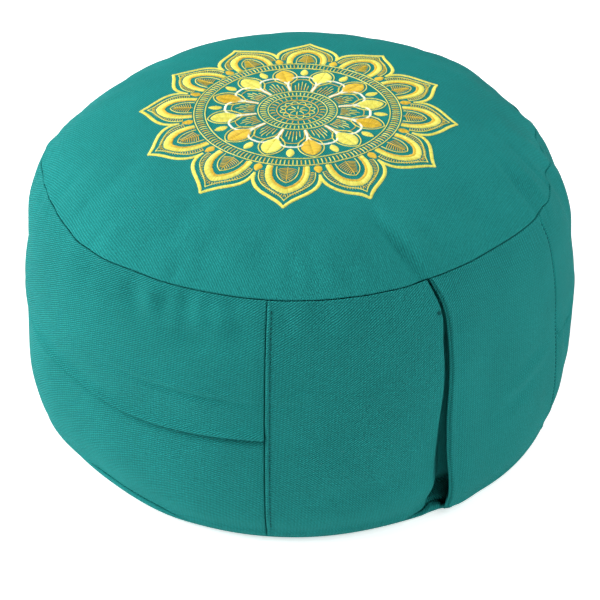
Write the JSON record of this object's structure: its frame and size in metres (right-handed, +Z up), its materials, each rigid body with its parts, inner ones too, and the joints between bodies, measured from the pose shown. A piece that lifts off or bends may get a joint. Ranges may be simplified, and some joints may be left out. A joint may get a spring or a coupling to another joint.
{
  "type": "zafu meditation cushion",
  "caption": "Round firm floor cushion with a crowned top, pieced twill wall, open lap at the front and flat base, for sitting on.",
  "frame": {"origin": "middle of the flat base, on the floor", "axes": "+Z up through the crown; -Y faces the top-stitched upright seam; +X to the sitter's right"},
  "size_m": [0.3541, 0.3552, 0.2],
  "materials": {
    "stuffed_body": "matte",
    "teal_twill": "matte"
  },
  "bodies": {
    "root": {"filled_cushion": "stuffed_body", "top_panel": "teal_twill", "base_panel": "teal_twill", "upper_wall_strip": "teal_twill", "lower_wall_strip": "teal_twill", "front_panel": "teal_twill", "lap_panel": "teal_twill"}
  },
  "joints": []
}
